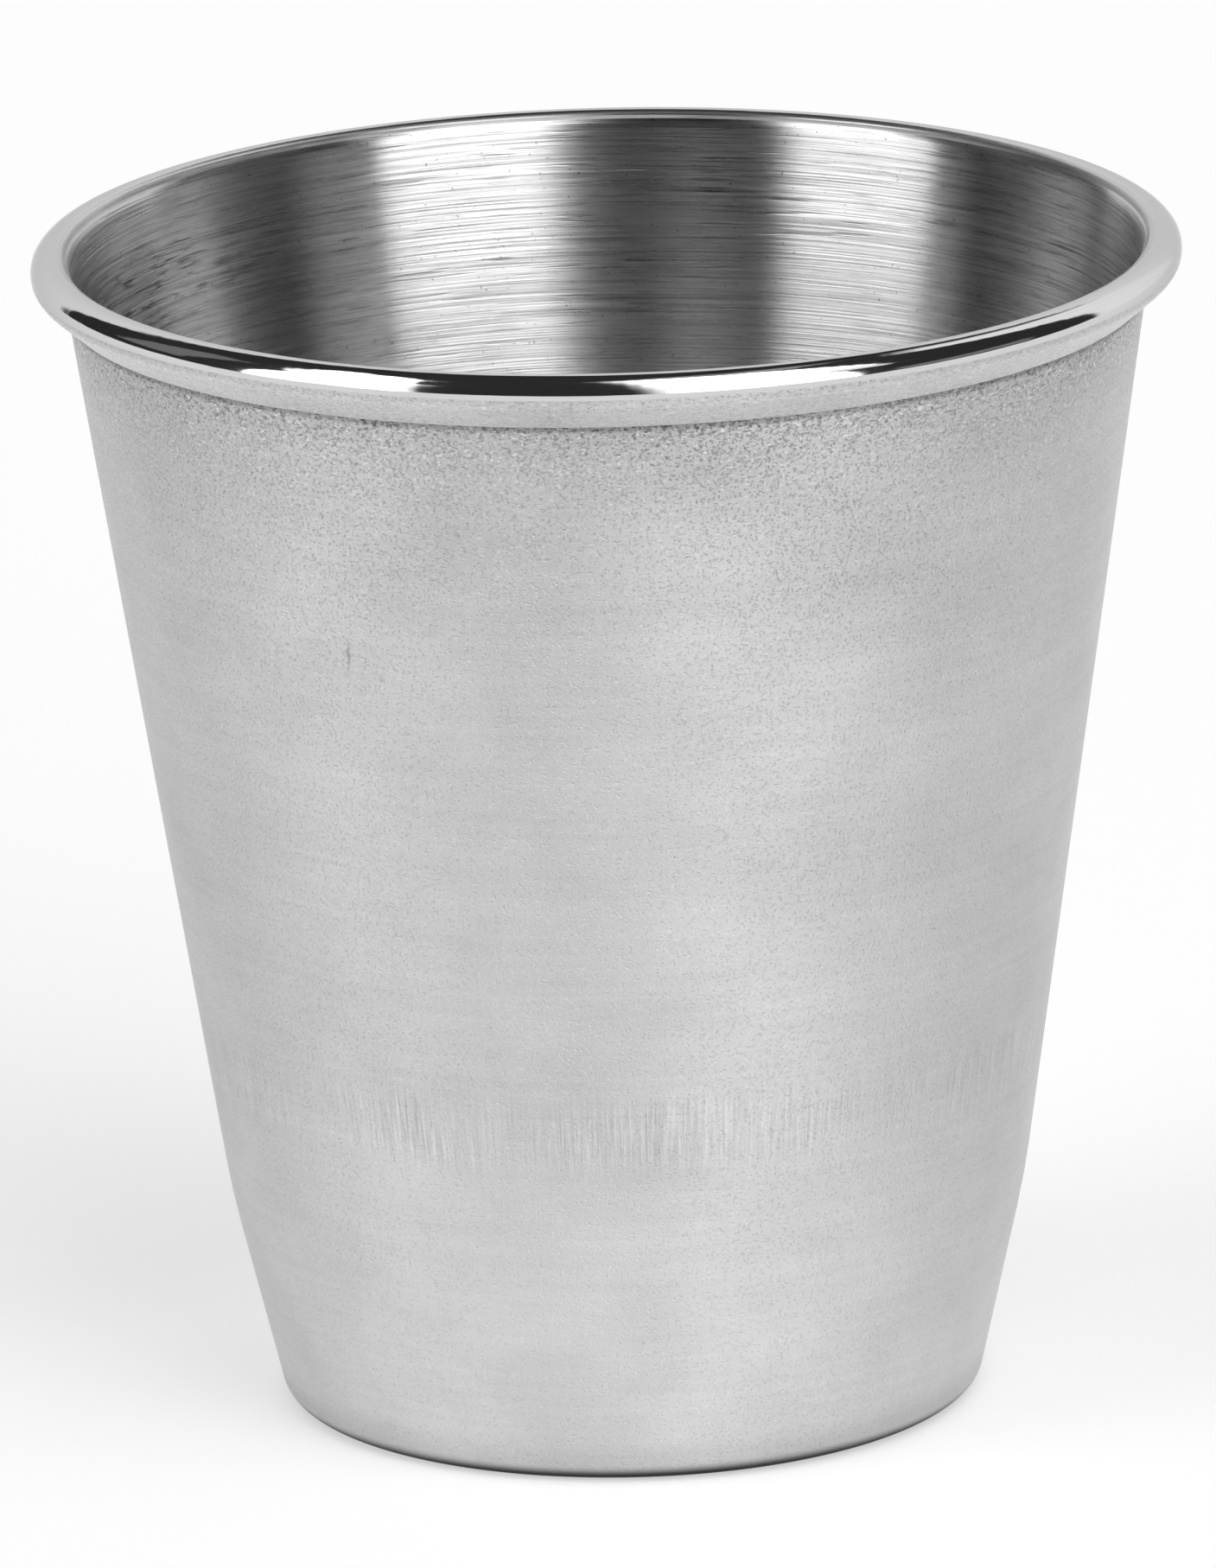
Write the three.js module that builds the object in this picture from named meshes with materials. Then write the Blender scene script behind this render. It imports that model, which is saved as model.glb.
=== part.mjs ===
// A small pressed stainless steel cup, in millimetres, with +Z up.
// The origin is the middle of the plane that the cup stands on, and Z is the cup's axis.
// One drawn steel sheet makes the base, the wall and the rim, which is rolled outwards over a stiffening wire.
import * as THREE from "three";

// Driving dimensions of the cup, measured on its outside
const HEIGHT = 53.9; // standing plane to the top of the rolled rim
const RIM_DIAMETER = 52; // across the rolled rim
const KNEE_HEIGHT = 9.8; // where the wall changes from its lower to its upper taper
const KNEE_DIAMETER = 36.3; // across the wall at that height
const BASE_DIAMETER = 31.7; // where the lower wall, carried down, meets the standing plane
const SHEET = 0.4; // thickness of the steel
const KNEE_RADIUS = 36; // soft bend between the two tapers
const HEEL_RADIUS = 1.2; // bend between the wall and the base

// Driving dimensions of the base, whose middle is pressed up so that the cup stands on a ring
const RING_WIDTH = 2.2; // flat ring that touches the table
const PANEL_LIFT = 0.6; // height of the middle panel's underside
const PANEL_SLOPE = THREE.MathUtils.degToRad(35); // slope of the step between panel and ring
const PANEL_RADIUS = 0.9; // both bends of that step

// Driving dimensions of the rolled rim
const WIRE_DIAMETER = 0.9; // stiffening wire inside the rim
const WIRE_CLEARANCE = 0.035; // between the wire and the sheet rolled over it
const FLANK_SLOPE = THREE.MathUtils.degToRad(40.5); // straight end of the roll, below level
const CREASE_GAP = 0.12; // between the sheet's trimmed edge and the wall

// Facets
const SEGMENTS = 72; // round the cup's axis
const BEND_STEP = THREE.MathUtils.degToRad(20); // largest step along a bend
const WIRE_SIDES = 10;

const STEEL_COLOUR = 0xc9cacb;

// Unit vectors of the half section, where x is the radius and y the height
const headingVector = (heading) => new THREE.Vector2(Math.cos(heading), Math.sin(heading));
const leftOf = (heading) => headingVector(heading + Math.PI / 2);
const headingFrom = (from, to) => Math.atan2(to.y - from.y, to.x - from.x);

// A bend of the sheet: places on its outer face, each with the direction through the sheet to its inner face.
// The section runs from the axis out and up, so the inner face is always on its left.
function bend(centre, radius, startHeading, endHeading) {
  const turn = endHeading - startHeading;
  const steps = Math.max(2, Math.ceil(Math.abs(turn) / BEND_STEP));
  const places = [];
  for (let step = 0; step <= steps; step += 1) {
    const heading = startHeading + (turn * step) / steps;
    const through = leftOf(heading);
    const point = centre.clone().addScaledVector(through, -Math.sign(turn) * radius);
    places.push({ point, through });
  }
  return places;
}

// The bend that rounds a corner between two straight runs
function roundedCorner(corner, radius, startHeading, endHeading) {
  const turn = endHeading - startHeading;
  const setback = radius * Math.tan(Math.abs(turn) / 2);
  const centre = corner
    .clone()
    .addScaledVector(headingVector(startHeading), -setback)
    .addScaledVector(leftOf(startHeading), Math.sign(turn) * radius);
  return bend(centre, radius, startHeading, endHeading);
}

// Where a line from a point along a heading meets another such line
function meeting(point, heading, otherPoint, otherHeading) {
  const along = headingVector(heading);
  const across = leftOf(otherHeading);
  const distance = otherPoint.clone().sub(point).dot(across) / along.dot(across);
  return point.clone().addScaledVector(along, distance);
}

// The round of the rolled rim, which fits the wire
const rollRadius = WIRE_DIAMETER / 2 + WIRE_CLEARANCE;
const rollReach = rollRadius + SHEET;
const rollCentre = new THREE.Vector2(RIM_DIAMETER / 2 - rollReach, HEIGHT - rollReach);

// The drawn sheet from the middle of the base to the trimmed edge under the rim
function sheetOutline() {
  const baseCorner = new THREE.Vector2(BASE_DIAMETER / 2, 0);
  const knee = new THREE.Vector2(KNEE_DIAMETER / 2, KNEE_HEIGHT);
  const lowerWall = headingFrom(baseCorner, knee);
  const upperWall =
    headingFrom(knee, rollCentre) + Math.asin(rollRadius / knee.distanceTo(rollCentre));
  const flank = -Math.PI + FLANK_SLOPE;

  const heel = roundedCorner(baseCorner, HEEL_RADIUS, 0, lowerWall);
  const stepSetback = PANEL_RADIUS * Math.tan(PANEL_SLOPE / 2);
  const ringInner = new THREE.Vector2(heel[0].point.x - RING_WIDTH - stepSetback, 0);
  const panelEdge = new THREE.Vector2(ringInner.x - PANEL_LIFT / Math.tan(PANEL_SLOPE), PANEL_LIFT);

  const places = [
    { point: new THREE.Vector2(0, PANEL_LIFT), through: leftOf(0) },
    ...roundedCorner(panelEdge, PANEL_RADIUS, 0, -PANEL_SLOPE),
    ...roundedCorner(ringInner, PANEL_RADIUS, -PANEL_SLOPE, 0),
    ...heel,
    ...roundedCorner(knee, KNEE_RADIUS, lowerWall, upperWall),
    ...bend(rollCentre, rollRadius, upperWall, 0),
    ...bend(rollCentre, rollRadius, 0, -Math.PI / 2).slice(1),
    ...bend(rollCentre, rollRadius, -Math.PI / 2, flank).slice(1),
  ];
  const outer = places.map((place) => place.point);
  const inner = places.map((place) => place.point.clone().addScaledVector(place.through, SHEET));

  // The roll's straight end stops short of the wall, with its trimmed edge along the wall
  const edgePoint = knee.clone().addScaledVector(leftOf(upperWall), -CREASE_GAP);
  outer.push(meeting(outer.at(-1), flank, edgePoint, upperWall));
  inner.push(meeting(inner.at(-1), flank, edgePoint, upperWall));
  return [...outer, ...inner.reverse()];
}

function wireOutline() {
  const points = [];
  for (let side = 0; side <= WIRE_SIDES; side += 1) {
    const direction = headingVector((2 * Math.PI * side) / WIRE_SIDES);
    points.push(rollCentre.clone().addScaledVector(direction, WIRE_DIAMETER / 2));
  }
  return points;
}

// A half section turned about the cup's axis
function turned(outline) {
  return new THREE.LatheGeometry(outline, SEGMENTS).rotateX(Math.PI / 2);
}

function steelMesh(name, outline, roughness) {
  const material = new THREE.MeshStandardMaterial({ color: STEEL_COLOUR, metalness: 1, roughness });
  const mesh = new THREE.Mesh(turned(outline), material);
  mesh.name = name;
  return mesh;
}

const cup = new THREE.Group();
cup.name = "stainless_steel_cup";
cup.add(steelMesh("cup_body", sheetOutline(), 0.42));
cup.add(steelMesh("rim_wire", wireOutline(), 0.35));

export default cup;
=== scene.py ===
"""Looks of a small pressed stainless steel cup: its drawn sheet as one fine turned mesh, the sheet's four
finishes, the wire in its rim, and a plain studio with two soft boxes. Lengths are in metres."""

import math
from typing import NamedTuple

import bpy
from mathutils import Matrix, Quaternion, Vector


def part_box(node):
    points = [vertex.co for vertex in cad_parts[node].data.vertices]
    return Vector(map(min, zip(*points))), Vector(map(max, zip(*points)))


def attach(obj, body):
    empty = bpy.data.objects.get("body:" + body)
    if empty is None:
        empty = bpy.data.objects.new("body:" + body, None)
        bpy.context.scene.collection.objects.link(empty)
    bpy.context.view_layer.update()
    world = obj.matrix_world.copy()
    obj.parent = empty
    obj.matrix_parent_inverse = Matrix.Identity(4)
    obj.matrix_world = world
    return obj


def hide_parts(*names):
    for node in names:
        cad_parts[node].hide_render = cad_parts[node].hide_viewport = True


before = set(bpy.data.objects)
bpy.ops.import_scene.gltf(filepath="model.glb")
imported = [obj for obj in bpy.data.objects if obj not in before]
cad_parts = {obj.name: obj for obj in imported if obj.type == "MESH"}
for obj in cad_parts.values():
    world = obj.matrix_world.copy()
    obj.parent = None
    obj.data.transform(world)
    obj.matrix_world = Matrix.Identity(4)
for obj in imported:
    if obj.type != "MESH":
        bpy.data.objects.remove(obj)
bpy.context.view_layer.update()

MM = 0.001

# Sizes of the drawn sheet, as in the solid that it replaces
LOW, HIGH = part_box("cup_body")
HEIGHT = HIGH.z
RIM_DIAMETER = HIGH.x - LOW.x
KNEE_HEIGHT = 9.8 * MM
KNEE_DIAMETER = 36.3 * MM
BASE_DIAMETER = 31.7 * MM
SHEET = 0.4 * MM
KNEE_RADIUS = 36 * MM
HEEL_RADIUS = 1.2 * MM
RING_WIDTH = 2.2 * MM
PANEL_LIFT = 0.6 * MM
PANEL_SLOPE = math.radians(35)
PANEL_RADIUS = 0.9 * MM
FLANK_SLOPE = math.radians(40.5)
CREASE_GAP = 0.12 * MM
WIRE_DIAMETER = 0.9 * MM
WIRE_CLEARANCE = 0.035 * MM
ROLL_REACH = WIRE_DIAMETER / 2 + WIRE_CLEARANCE + SHEET
ROLL_CENTRE = Vector((RIM_DIAMETER / 2 - ROLL_REACH, HEIGHT - ROLL_REACH))

# Fineness of the mesh, the radius below which a ring is one point on the axis, and the angle between faces
# past which an edge is sharp
SEGMENTS = 180
BEND_STEP = math.radians(3)
RUN_STEP = 0.5 * MM
ON_AXIS = 1e-6 * MM
SHARP_ANGLE = math.radians(40)

# Where the finishes of the rolled rim change, by the way that its face points: 0 is outwards and 90 is up
POLISH_START = math.radians(-9)
POLISH_FULL = math.radians(-3)
POLISH_FADE = math.radians(95)
POLISH_END = math.radians(125)
LIP_FULL = math.radians(125)
LIP_START = math.radians(155)
WORN_START = math.radians(131)
WORN_END = math.radians(141)

# How fast the pitted hem under the rim and its painted grey shade fade down the wall, the hem's share on the
# flank of the rim, which is lit with painted light, and the dark line of painted shade in the crease between
# the two with the tone left in it
HEM_FADE = 1.5 * MM
SHADE_FADE = 7 * MM
FLANK_HEM = 0.1
FLANK_PAINTED_LIGHT = 0.26
CREASE_LINE = 0.3 * MM
CREASE_SHADE_TONE = 0.55

# Painted dark shadow on the heel where it meets the table, by the sheet's heading, where 0 lies on the table,
# and the soft painted shade above it, with the share of the tone that each takes away or leaves
FOOT_START = math.radians(4)
FOOT_FULL = math.radians(14)
FOOT_FADE = math.radians(38)
FOOT_END = math.radians(72)
FOOT_SHADOW_LOSS = 0.96
HEEL_SHADE_LOW = 0.8 * MM
HEEL_SHADE_HIGH = 2.4 * MM
HEEL_SHADE_TONE = 0.86

# Band of rubbed scratches round the wall, and the side on which it is strongest
BAND_LOW = 15.8 * MM
BAND_HIGH = 18.8 * MM
BAND_EDGE = 0.9 * MM
BAND_FRONT = Vector((-0.17, -0.985, 0))

# One short upright scratch on the wall: its middle and how far it reaches
SCRATCH_PLACE = Vector((-11.85 * MM, -19.4 * MM, 40 * MM))
SCRATCH_REACH = Vector((0.16 * MM, 0.8 * MM, 1.5 * MM))

# Dark smears inside the cup: the middle of their patch and how far it reaches round and up
SMEAR_PLACE = Vector((-21.9 * MM, 10.2 * MM, 49.2 * MM))
SMEAR_REACH = Vector((10 * MM, 10 * MM, 2.4 * MM))

# Satin outside, which is lighter and duller below the rubbed band
OUTSIDE_TONE = 0.645
UPPER_START = BAND_LOW - 4 * MM
UPPER_FULL = BAND_LOW + 3 * MM
UPPER_ROUGHNESS = 0.50
LOWER_ROUGHNESS = 0.55
OUTSIDE_ANISOTROPY = 0.3
OUTSIDE_RELIEF = 0.012 * MM

# Mirror polish on the rim, which is dull along both edges
RIM_TONE = 0.66
RIM_GRAZING_TINT = (0.7, 0.7, 0.7, 1)
RIM_ROUGHNESS = 0.07
RIM_EDGE_ROUGHNESS = 0.30
RIM_RELIEF = 0.03 * MM

# Inside, which is brighter deep in the cup than at its mouth, and dull at the lip
DEEP_HEIGHT = 34 * MM
MOUTH_HEIGHT = 50 * MM
DEEP_TONE = 0.67
MOUTH_TONE = 0.54
INSIDE_ROUGHNESS = 0.28
LIP_ROUGHNESS = 0.42
INSIDE_ANISOTROPY = 1.0
INSIDE_RELIEF = 0.012 * MM

# Rubbed line round the lip, and the wire
WORN_TONE = 0.32
WORN_ROUGHNESS = 0.40
WIRE_TONE = 0.55
WIRE_GRAIN = (400, 400, 12000)

# Turns the stretch of a reflection from along the tangent to across it
QUARTER_TURN = 0.25

# Strengths of the studio's panels and of the dark room round them
LEFT_BOX = 3.8
RIGHT_BOX = 4.45
LEFT_WALL = 0.21
RIGHT_STRIP = 1.3
RIGHT_WALL = 0.26
BACK_RIGHT_WALL = 1.3
BACK_LEFT_WALL = 1.17
CEILING = 0.45
ROOM_LIGHT = 0.04

# White floor
FLOOR_REACH = 20.0
FLOOR_COLOUR = (0.97, 0.97, 0.97, 1)
FLOOR_GLOW_SHARE = 0.5

# Camera, from a fit of the cup's outline to the photograph
CAMERA_PLACE = Vector((0, -809.8 * MM, 252.6 * MM))
CAMERA_AIM = Vector((-0.5 * MM, 0, 28.3 * MM))
CAMERA_ROLL = math.radians(-1.409)
CAMERA_LENS = 424.1
CAMERA_FAR = 100


# The sheet's half section, where x is the radius and y the height

class Ring(NamedTuple):
    """A ring of the turned mesh: its place, its run along the sheet, its marks and the next row's finish."""

    point: Vector
    run: float
    marks: dict
    finish: str


def heading_vector(heading):
    return Vector((math.cos(heading), math.sin(heading)))


def left_of(heading):
    return heading_vector(heading + math.pi / 2)


def bend(centre, radius, start, end):
    """Places along a bend: each has its point on the outer face and the sheet's heading there."""
    turn = end - start
    steps = max(2, math.ceil(abs(turn) / BEND_STEP))
    places = []
    for step in range(steps + 1):
        heading = start + turn * step / steps
        places.append((centre - left_of(heading) * math.copysign(radius, turn), heading))
    return places


def rounded_corner(corner, radius, start, end):
    setback = radius * math.tan(abs(end - start) / 2)
    centre = corner - heading_vector(start) * setback + left_of(start) * math.copysign(radius, end - start)
    return bend(centre, radius, start, end)


def meeting(point, heading, other_point, other_heading):
    """Where a line from a point along a heading meets another such line."""
    across = left_of(other_heading)
    along = heading_vector(heading)
    return point + along * ((other_point - point).dot(across) / along.dot(across))


def divided(places):
    """The same places with long straight runs split into short ones."""
    fine = [places[0]]
    for (start, _), (end, heading) in zip(places, places[1:]):
        parts = max(1, math.ceil((end - start).length / RUN_STEP))
        for part in range(1, parts + 1):
            fine.append((start.lerp(end, part / parts), heading))
    return fine


def runs(points):
    """How far along the sheet each point lies."""
    total = [0]
    for start, end in zip(points, points[1:]):
        total.append(total[-1] + (end - start).length)
    return total


def smooth_step(low, high, value):
    share = min(1, max(0, (value - low) / (high - low)))
    return share * share * (3 - 2 * share)


def rise_and_fall(start, full, fade, end, value):
    return smooth_step(start, full, value) * (1 - smooth_step(fade, end, value))


def rim_finish(facing):
    """The finish of a face row of the inner side, by the way that it faces."""
    if facing < POLISH_START:
        return "outside"
    if facing < POLISH_END:
        return "rim"
    return "worn" if WORN_START < facing < WORN_END else "inside"


def sheet_section():
    """Rings of the closed section, from the middle of the base along the outer side, back along the inner."""
    base_corner = Vector((BASE_DIAMETER / 2, 0))
    knee = Vector((KNEE_DIAMETER / 2, KNEE_HEIGHT))
    lower_wall = math.atan2(knee.y - base_corner.y, knee.x - base_corner.x)
    roll_radius = ROLL_REACH - SHEET
    to_roll = ROLL_CENTRE - knee
    upper_wall = math.atan2(to_roll.y, to_roll.x) + math.asin(roll_radius / to_roll.length)
    flank = -math.pi + FLANK_SLOPE

    heel = rounded_corner(base_corner, HEEL_RADIUS, 0, lower_wall)
    step_setback = PANEL_RADIUS * math.tan(PANEL_SLOPE / 2)
    ring_inner = Vector((heel[0][0].x - RING_WIDTH - step_setback, 0))
    panel_edge = ring_inner + Vector((-PANEL_LIFT / math.tan(PANEL_SLOPE), PANEL_LIFT))
    places = divided(
        [(Vector((0, PANEL_LIFT)), 0)]
        + rounded_corner(panel_edge, PANEL_RADIUS, 0, -PANEL_SLOPE)
        + rounded_corner(ring_inner, PANEL_RADIUS, -PANEL_SLOPE, 0)
        + heel
        + rounded_corner(knee, KNEE_RADIUS, lower_wall, upper_wall)
        + bend(ROLL_CENTRE, roll_radius, upper_wall, flank)
    )
    outer = [point for point, _ in places]
    inner = [point + left_of(heading) * SHEET for point, heading in places]
    headings = [heading for _, heading in places]

    # The straight end of the roll, trimmed along the wall
    edge_point = knee - left_of(upper_wall) * CREASE_GAP
    outer.append(meeting(outer[-1], flank, edge_point, upper_wall))
    inner.append(meeting(inner[-1], flank, edge_point, upper_wall))
    headings.append(flank)

    crease = meeting(inner[-1], flank, knee, upper_wall)
    unmarked = {"hem": 0, "polish": 0, "lip": 0, "foot_shadow": 0, "flank": 0}
    rings = []
    for point, run, heading in zip(outer, runs(outer), headings):
        marks = {"hem": math.exp(min(0, point.y - crease.y) / HEM_FADE)}
        # Painted contact shadow along the heel, by the sheet's heading
        if point.y < HEEL_RADIUS:
            marks["foot_shadow"] = rise_and_fall(FOOT_START, FOOT_FULL, FOOT_FADE, FOOT_END, heading)
        rings.append(Ring(point, run, unmarked | marks, "outside"))

    faces = [heading + math.pi / 2 for heading in headings]
    inner_runs = runs(inner)
    for index in reversed(range(len(inner))):
        facing = faces[index]
        finish = rim_finish((facing + faces[index - 1]) / 2)
        marks = {
            "hem": FLANK_HEM if finish == "outside" else 0,
            "polish": rise_and_fall(POLISH_START, POLISH_FULL, POLISH_FADE, POLISH_END, facing),
            "lip": 1 - smooth_step(LIP_FULL, LIP_START, facing),
            # Share along the flank, which sets the painted light on it
            "flank": smooth_step(POLISH_START, faces[-1], facing),
        }
        rings.append(Ring(inner[index], inner_runs[index], unmarked | marks, finish))
    return rings


def turned_mesh(name, rings, materials):
    """The section turned about Z into one closed mesh. Its first and last rings lie on the axis."""
    finishes = list(materials)
    vertices = []
    values = {key: [] for key in ("run", *rings[0].marks)}
    rows = []
    for ring in rings:
        radius, height = ring.point
        count = 1 if radius < ON_AXIS else SEGMENTS
        rows.append(range(len(vertices), len(vertices) + count))
        for segment in range(count):
            angle = 2 * math.pi * segment / SEGMENTS
            vertices.append((radius * math.cos(angle), radius * math.sin(angle), height))
        for key, value in {"run": ring.run, **ring.marks}.items():
            values[key] += [value] * count

    faces = []
    slots = []
    for ring, row, above in zip(rings, rows, rows[1:]):
        for segment in range(SEGMENTS):
            after = (segment + 1) % SEGMENTS
            corners = [row[segment % len(row)], row[after % len(row)]]
            corners += [above[after % len(above)], above[segment % len(above)]]
            faces.append(list(dict.fromkeys(corners)))
            slots.append(finishes.index(ring.finish))

    mesh = bpy.data.meshes.new(name)
    mesh.from_pydata(vertices, [], faces)
    for finish in finishes:
        mesh.materials.append(materials[finish])
    mesh.polygons.foreach_set("material_index", slots)
    for key, numbers in values.items():
        mesh.attributes.new(key, "FLOAT", "POINT").data.foreach_set("value", numbers)
    mesh.shade_smooth()
    mesh.set_sharp_from_angle(angle=SHARP_ANGLE)
    mesh.update()
    piece = bpy.data.objects.new(name, mesh)
    bpy.context.scene.collection.objects.link(piece)
    return piece


# Materials

class Nodes:
    """A short way to add and join the nodes of one tree."""

    def __init__(self, owner):
        owner.use_nodes = True
        self.tree = owner.node_tree
        self.tree.nodes.clear()

    def add(self, kind, inputs=(), **settings):
        node = self.tree.nodes.new("ShaderNode" + kind)
        for name, value in settings.items():
            setattr(node, name, value)
        for name, value in dict(inputs).items():
            if isinstance(value, bpy.types.NodeSocket):
                self.tree.links.new(value, node.inputs[name])
            else:
                node.inputs[name].default_value = value
        return node

    def math(self, operation, *values):
        return self.add("Math", dict(enumerate(values)), operation=operation).outputs[0]

    def vector(self, operation, *values):
        return self.add("VectorMath", dict(enumerate(values)), operation=operation).outputs[0]

    def measure(self, operation, *values):
        """A number that is worked out from vectors."""
        return self.add("VectorMath", dict(enumerate(values)), operation=operation).outputs["Value"]

    def scaled(self, vector, scale):
        return self.add("VectorMath", {0: vector, "Scale": scale}, operation="SCALE").outputs[0]

    def weighted(self, base, *terms):
        """A base with terms added to it, each of them a value and its weight."""
        total = base
        for value, weight in terms:
            total = self.math("MULTIPLY_ADD", value, weight, total)
        return total

    def product(self, first, *others):
        total = first
        for value in others:
            total = self.math("MULTIPLY", total, value)
        return total

    def spread(self, value, start, end, low, high):
        """The value carried smoothly from one range to another, held at both ends."""
        inputs = {"Value": value, "From Min": start, "From Max": end, "To Min": low, "To Max": high}
        return self.add("MapRange", inputs, interpolation_type="SMOOTHSTEP").outputs[0]

    def attribute(self, name):
        return self.add("Attribute", attribute_name=name).outputs["Fac"]

    def place(self):
        return self.add("TexCoord").outputs["Object"]

    def height(self):
        return self.add("SeparateXYZ", {"Vector": self.place()}).outputs["Z"]

    def around(self):
        """A unit vector that points away from the cup's axis."""
        return self.vector("NORMALIZE", self.vector("MULTIPLY", self.place(), (1, 1, 0)))

    def turning(self):
        """The way round the cup, along which the sheet was turned."""
        return self.add("Tangent", direction_type="RADIAL", axis="Z").outputs[0]

    def away(self, middle, reach):
        """How far a place lies from the middle of a patch, as a share of the patch's reach each way."""
        offset = self.vector("SUBTRACT", self.place(), middle)
        return self.measure("LENGTH", self.vector("DIVIDE", offset, reach))

    def noise(self, vector, scale=1.0, detail=2.0, roughness=0.5):
        inputs = {"Vector": vector, "Scale": scale, "Detail": detail, "Roughness": roughness}
        return self.add("TexNoise", inputs).outputs[0]

    def centred(self, noise):
        return self.math("SUBTRACT", noise, 0.5)

    def grain(self, size, detail=2.0, roughness=0.5):
        return self.noise(self.place(), 1 / size, detail, roughness)

    def lines(self, turn_length, run_length, detail=2.0, roughness=0.5):
        """Noise drawn out into lines, by their length round the cup, in radians, and along the sheet."""
        turn = self.scaled(self.around(), 1 / turn_length)
        run = self.math("MULTIPLY", self.attribute("run"), 1 / run_length)
        place = self.vector("ADD", turn, self.add("CombineXYZ", {"Z": run}).outputs[0])
        return self.noise(place, 1.0, detail, roughness)

    def grey(self, value):
        return self.add("CombineColor", {"Red": value, "Green": value, "Blue": value}).outputs[0]

    def bump(self, height, distance):
        return self.add("Bump", {"Height": height, "Distance": distance, "Strength": 1.0}).outputs[0]

    def steel(self, **inputs):
        names = {name.replace("_", " ").title(): value for name, value in inputs.items()}
        shader = self.add("BsdfPrincipled", {"Metallic": 1.0} | names)
        self.tree.links.new(shader.outputs[0], self.add("OutputMaterial").inputs[0])


def rubbed_band(nodes):
    """Fine upright scratches in a band where nested cups rub, in loose groups."""
    height = nodes.height()
    rise = nodes.spread(height, BAND_LOW - BAND_EDGE, BAND_LOW + BAND_EDGE, 0, 1)
    fall = nodes.spread(height, BAND_HIGH - BAND_EDGE, BAND_HIGH + BAND_EDGE, 1, 0)
    front = nodes.measure("DOT_PRODUCT", nodes.around(), BAND_FRONT)
    groups = nodes.spread(nodes.lines(0.22, 6 * MM), 0.36, 0.62, 0.4, 1)
    scratches = nodes.centred(nodes.lines(0.005, 3 * MM, 2.0, 0.6))
    return nodes.product(rise, fall, groups, nodes.spread(front, 0.8, 0.98, 0.7, 1.3), scratches)


def scratch(nodes):
    """One short upright scratch on the wall, as a share of the tone that is left there."""
    away = nodes.away(SCRATCH_PLACE, SCRATCH_REACH)
    return nodes.spread(nodes.weighted(away, (nodes.grain(0.3 * MM), 1.6)), 0.9, 1.6, 0.7, 1)


def smears(nodes):
    """Broken dark streaks along the turning, in one patch, with fainter ones all round."""
    patch = nodes.spread(nodes.away(SMEAR_PLACE, SMEAR_REACH), 0.3, 1.1, 0.75, 0.15)
    streaks = nodes.spread(nodes.lines(0.08, 0.25 * MM, 3.0, 0.65), 0.5, 0.68, 0, 1)
    return nodes.product(patch, streaks)


def outside_material():
    """Satin outside of the wall: blasted grain with pits under the rim, faint turned streaks and clouds."""
    material = bpy.data.materials.new("satin_steel")
    nodes = Nodes(material)
    height = nodes.height()
    upper = nodes.spread(height, UPPER_START, UPPER_FULL, 0, 1)
    hem = nodes.attribute("hem")
    # Falloff below the rim that carries its painted grey shade and how dense the pits, painted glints and
    # specks are
    shade = nodes.math("POWER", hem, HEM_FADE / SHADE_FADE)

    grain = nodes.centred(nodes.grain(0.11 * MM, 2.0, 0.6))
    pits = nodes.spread(nodes.lines(0.01, 0.15 * MM, 1.0), 0.5, 0.68, 0, -1)
    pits = nodes.product(pits, nodes.weighted(0, (hem, 0.19), (shade, 0.07)))
    # Painted glints: light flecks that stand in for shining facets of the grain
    painted_glints = nodes.spread(nodes.lines(0.009, 0.12 * MM, 0.0), 0.62, 0.78, 0, 1)
    specks = nodes.spread(nodes.grain(0.13 * MM, 1.0), 0.55, 0.72, 0, 1)
    specks = nodes.product(specks, nodes.weighted(0.3, (shade, 0.6)))
    streaks = nodes.centred(nodes.lines(0.6, 0.4 * MM, 4.0, 0.65))
    clouds = nodes.centred(nodes.lines(0.35, 6 * MM, 3.0, 0.55))
    rubbed = rubbed_band(nodes)

    tone = nodes.weighted(
        OUTSIDE_TONE,
        (upper, -0.03),
        # Painted grey shade under the rim, darkest in the hem
        (shade, -0.05),
        (hem, -0.04),
        (grain, nodes.weighted(0.09, (upper, 0.07))),
        (pits, 1),
        (painted_glints, nodes.weighted(0.035, (hem, 0.14), (shade, 0.08))),
        (specks, -0.12),
        (streaks, 0.09),
        (clouds, 0.2),
        (rubbed, 0.5),
    )
    tone = nodes.product(
        tone,
        # Painted shade: a dark line in the crease under the rim
        nodes.spread(hem, math.exp(-CREASE_LINE / HEM_FADE), 1, 1, CREASE_SHADE_TONE),
        # Painted contact shadow on the heel
        nodes.weighted(1, (nodes.attribute("foot_shadow"), -FOOT_SHADOW_LOSS)),
        # Painted light on the flank of the rim
        nodes.weighted(1, (nodes.attribute("flank"), FLANK_PAINTED_LIGHT)),
        # Painted shade over the heel, darker towards the table
        nodes.spread(height, HEEL_SHADE_LOW, HEEL_SHADE_HIGH, HEEL_SHADE_TONE, 1),
        scratch(nodes),
    )
    roughness = nodes.spread(height, BAND_LOW, HEIGHT, LOWER_ROUGHNESS, UPPER_ROUGHNESS)
    relief = nodes.weighted(grain, (streaks, 0.6), (specks, -5), (pits, 6), (rubbed, 3))
    nodes.steel(
        base_color=nodes.grey(tone),
        roughness=nodes.weighted(roughness, (clouds, 0.12)),
        anisotropic=OUTSIDE_ANISOTROPY,
        anisotropic_rotation=QUARTER_TURN,
        tangent=nodes.turning(),
        normal=nodes.bump(relief, OUTSIDE_RELIEF),
    )
    return material


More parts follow.
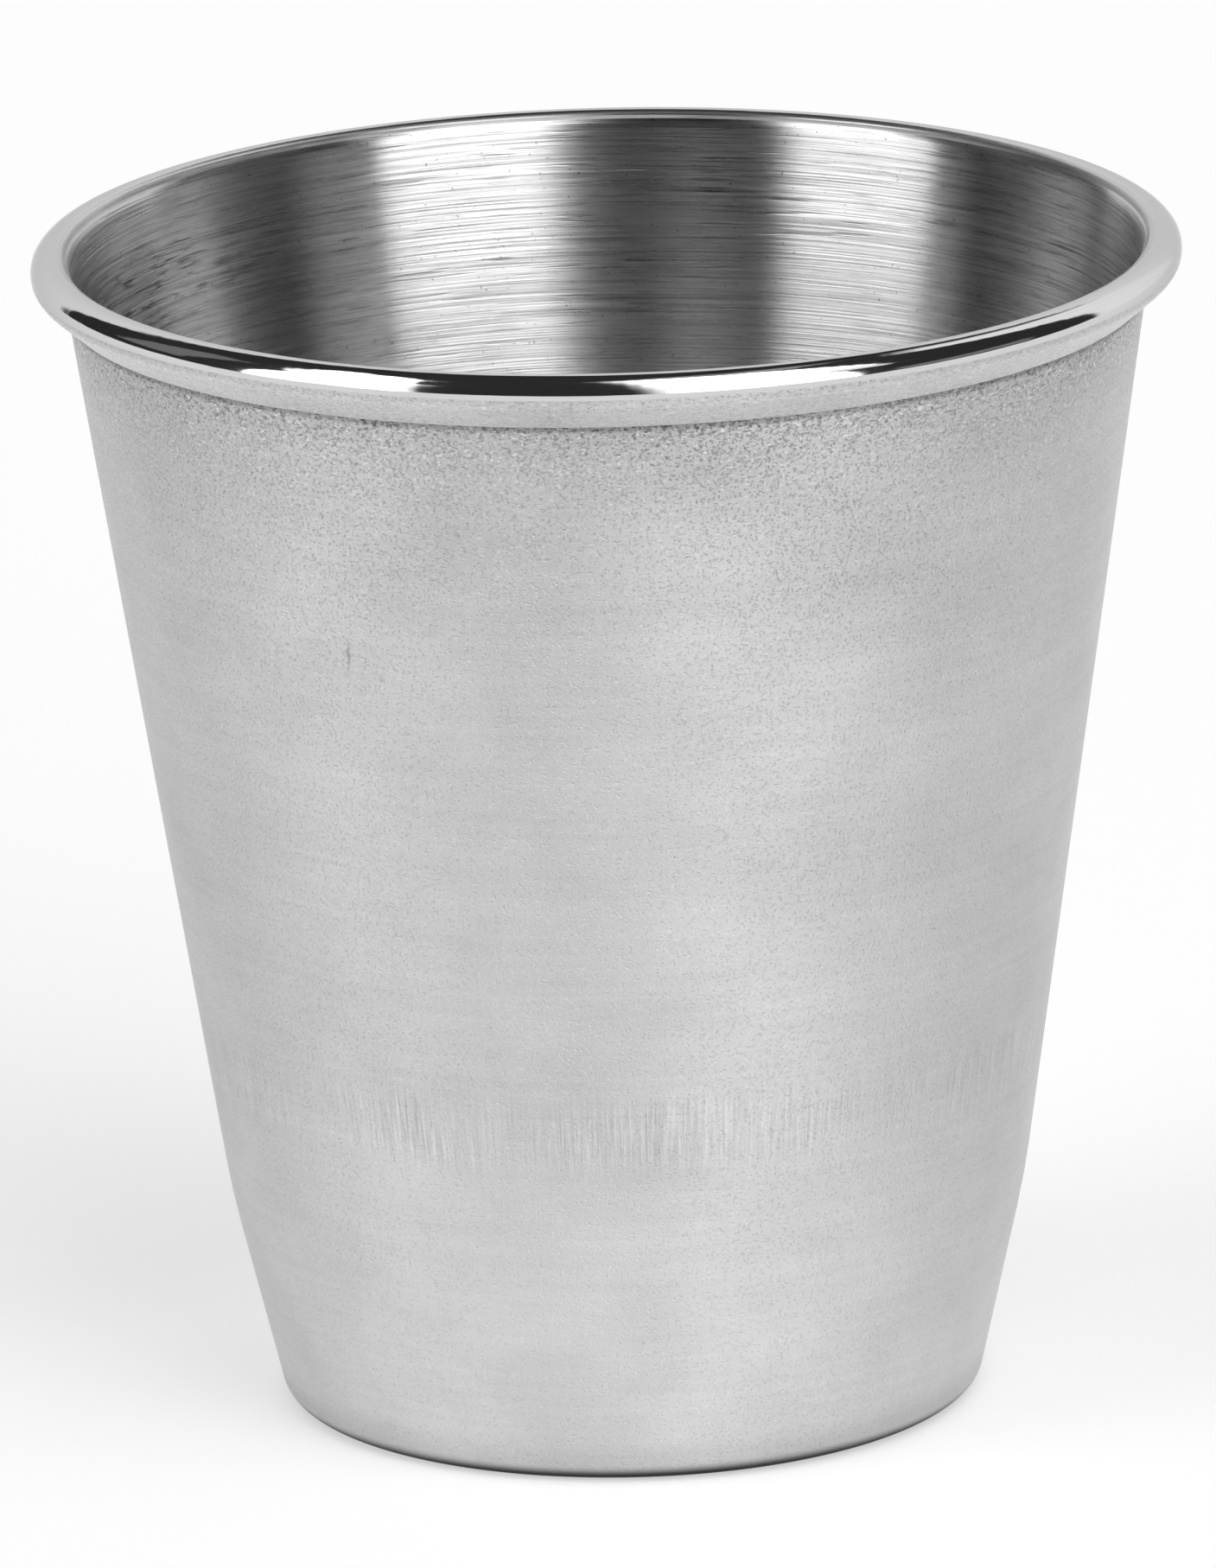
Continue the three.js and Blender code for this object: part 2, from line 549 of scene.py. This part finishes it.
def rim_material():
    """Mirror polish on the rolled rim, with slight ripples and fine scratches round it."""
    material = bpy.data.materials.new("polished_steel")
    nodes = Nodes(material)
    scratches = nodes.centred(nodes.lines(0.25, 0.06 * MM, 2.0, 0.6))
    ripples = nodes.grain(2.5 * MM)
    nodes.steel(
        base_color=nodes.grey(nodes.weighted(RIM_TONE, (scratches, 0.08))),
        roughness=nodes.spread(nodes.attribute("polish"), 0, 1, RIM_EDGE_ROUGHNESS, RIM_ROUGHNESS),
        specular_tint=RIM_GRAZING_TINT,
        normal=nodes.bump(nodes.weighted(ripples, (scratches, 0.02)), RIM_RELIEF),
    )
    return material


def inside_material():
    """Inside of the cup, polished round and round, which draws reflections out up and down the wall."""
    material = bpy.data.materials.new("brushed_steel")
    nodes = Nodes(material)
    fine = nodes.centred(nodes.lines(0.5, 0.08 * MM, 0.0))
    broad = nodes.centred(nodes.lines(0.3, 0.2 * MM, 1.0))
    patches = nodes.spread(nodes.lines(0.5, 3 * MM), 0.4, 0.62, 0.35, 1)
    lines = nodes.weighted(fine, (nodes.product(broad, patches), 2))
    scores = nodes.spread(nodes.lines(0.14, 0.13 * MM, 0.0), 0.66, 0.78, 0, -1)
    scores = nodes.product(scores, patches)

    tone = nodes.spread(nodes.height(), DEEP_HEIGHT, MOUTH_HEIGHT, DEEP_TONE, MOUTH_TONE)
    tone = nodes.product(
        nodes.weighted(tone, (lines, 0.3)),
        nodes.weighted(1, (scores, 0.42)),
        nodes.math("SUBTRACT", 1, smears(nodes)),
        nodes.spread(nodes.grain(0.16 * MM, 0.0), 0.78, 0.84, 1, 0.55),
    )
    lip_dulling = LIP_ROUGHNESS - INSIDE_ROUGHNESS
    nodes.steel(
        base_color=nodes.grey(tone),
        roughness=nodes.weighted(INSIDE_ROUGHNESS, (broad, 0.08), (nodes.attribute("lip"), lip_dulling)),
        anisotropic=INSIDE_ANISOTROPY,
        anisotropic_rotation=QUARTER_TURN,
        tangent=nodes.turning(),
        normal=nodes.bump(nodes.weighted(lines, (scores, 0.8)), INSIDE_RELIEF),
    )
    return material


def worn_material():
    """Dull line that nested cups rub round the inside of the lip."""
    material = bpy.data.materials.new("rubbed_steel")
    nodes = Nodes(material)
    patches = nodes.centred(nodes.lines(0.2, 0.5 * MM, 3.0, 0.6))
    nodes.steel(
        base_color=nodes.grey(nodes.weighted(WORN_TONE, (patches, 0.5))),
        roughness=nodes.weighted(WORN_ROUGHNESS, (patches, 0.2)),
    )
    return material


def wire_material():
    """Bright drawn wire, with fine lines along it."""
    material = bpy.data.materials.new("drawn_wire")
    nodes = Nodes(material)
    lines = nodes.noise(nodes.vector("MULTIPLY", nodes.place(), WIRE_GRAIN), 1.0, 3.0)
    nodes.steel(
        base_color=nodes.grey(nodes.weighted(WIRE_TONE, (nodes.centred(lines), 0.2))),
        roughness=nodes.spread(lines, 0, 1, 0.2, 0.4),
    )
    return material


# Studio

def sky_direction(azimuth, elevation):
    """A direction by degrees of azimuth, from the camera's side towards its right, and of elevation."""
    level = math.cos(math.radians(elevation))
    turn = math.radians(azimuth)
    return Vector((level * math.sin(turn), -level * math.cos(turn), math.sin(math.radians(elevation))))


def panel_light(nodes, direction, corners, softness, strength):
    """Light of one flat panel far away, which fades to nothing across its soft sides."""
    ways = [sky_direction(*corner) for corner in corners]
    middle = sum(ways, Vector())
    light = strength
    for start, end, soft in zip(ways, ways[1:] + ways[:1], softness):
        side = start.cross(end).normalized()
        side *= math.copysign(1, side.dot(middle))
        edge = math.sin(math.radians(soft))
        inside = nodes.measure("DOT_PRODUCT", direction, side)
        light = nodes.product(light, nodes.spread(inside, -edge / 2, edge / 2, 0, 1))
    return light


def studio_light():
    """Two tall soft boxes in front, dim walls beside them and a pale wall behind, in a dark room."""
    # Each panel has its corners, from the lower left round to the upper left, as azimuth and elevation in
    # degrees, then the softness of its lower, right, upper and left side in degrees, and its strength
    panels = {
        "left box": (((-76, -5), (-40, -5), (-45, 44), (-78.5, 44)), (2, 9, 2, 1), LEFT_BOX),
        "left box's top": (((-82, 43), (-47, 43), (-66, 66), (-122, 64)), (2, 2, 2, 3), LEFT_BOX),
        "right box": (((12, -5), (49.5, -5), (51.5, 44), (11, 44)), (2, 1, 2, 13), RIGHT_BOX),
        "right box's top": (((10, 43), (64, 43), (105, 76), (8, 86)), (2, 2, 3, 9), RIGHT_BOX),
        "right strip": (((51.5, 35), (64, 34.5), (67, 42), (53, 45)), (3, 1, 2, 1), RIGHT_STRIP),
        "right wall": (((58, 2), (92, 4), (93, 13), (59, 11)), (3, 4, 5, 3), RIGHT_WALL),
        "left wall": (((-115, 12), (-95, 12), (-97, 46), (-118, 46)), (2, 2, 4, 2), LEFT_WALL),
        "back right wall": (((112, -5), (152, -5), (152, 54), (125, 60)), (2, 8, 4, 3), BACK_RIGHT_WALL),
        "back left wall": (((152, -5), (225, -5), (217, 36), (152, 34)), (2, 3, 6, 8), BACK_LEFT_WALL),
        "ceiling": (((80, 72), (148, 62), (156, 78), (10, 87)), (4, 4, 4, 4), CEILING),
    }
    world = bpy.data.worlds.new("studio")
    bpy.context.scene.world = world
    nodes = Nodes(world)
    direction = nodes.add("TexCoord").outputs["Generated"]
    light = ROOM_LIGHT
    for corners, softness, strength in panels.values():
        light = nodes.math("ADD", light, panel_light(nodes, direction, corners, softness, strength))
    background = nodes.add("Background", {"Strength": light})
    nodes.tree.links.new(background.outputs[0], nodes.add("OutputWorld").inputs[0])


def floor():
    """A plain white floor, white to the camera and in the steel, that keeps part of the cup's shadow."""
    mesh = bpy.data.meshes.new("floor")
    signs = [(-1, -1), (1, -1), (1, 1), (-1, 1)]
    mesh.from_pydata([(x * FLOOR_REACH, y * FLOOR_REACH, 0) for x, y in signs], [], [(0, 1, 2, 3)])
    obj = bpy.data.objects.new("floor", mesh)
    bpy.context.scene.collection.objects.link(obj)
    material = bpy.data.materials.new("white_floor")
    nodes = Nodes(material)
    path = nodes.add("LightPath").outputs
    seen = nodes.math("MAXIMUM", path["Is Camera Ray"], path["Is Glossy Ray"])
    seen = nodes.math("MAXIMUM", seen, path["Is Transmission Ray"])
    share = nodes.product(seen, FLOOR_GLOW_SHARE)
    lit = nodes.add("BsdfDiffuse", {"Color": FLOOR_COLOUR}).outputs[0]
    white = nodes.add("Emission", {"Strength": 1.0}).outputs[0]
    mixed = nodes.add("MixShader", {0: share, 1: lit, 2: white}).outputs[0]
    nodes.tree.links.new(mixed, nodes.add("OutputMaterial").inputs[0])
    mesh.materials.append(material)


def camera():
    data = bpy.data.cameras.new("camera")
    data.lens = CAMERA_LENS
    data.clip_end = CAMERA_FAR
    obj = bpy.data.objects.new("camera", data)
    bpy.context.scene.collection.objects.link(obj)
    obj.location = CAMERA_PLACE
    obj.rotation_mode = "QUATERNION"
    aimed = (CAMERA_AIM - CAMERA_PLACE).to_track_quat("-Z", "Y")
    obj.rotation_quaternion = aimed @ Quaternion((0, 0, 1), CAMERA_ROLL)
    bpy.context.scene.camera = obj


bpy.context.scene.view_settings.view_transform = "Standard"
camera()
studio_light()
floor()

cup = turned_mesh(
    "cup",
    sheet_section(),
    {
        "outside": outside_material(),
        "rim": rim_material(),
        "inside": inside_material(),
        "worn": worn_material(),
    },
)
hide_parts("cup_body")
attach(cup, "root")

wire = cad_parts["rim_wire"]
wire.data.materials.clear()
wire.data.materials.append(wire_material())
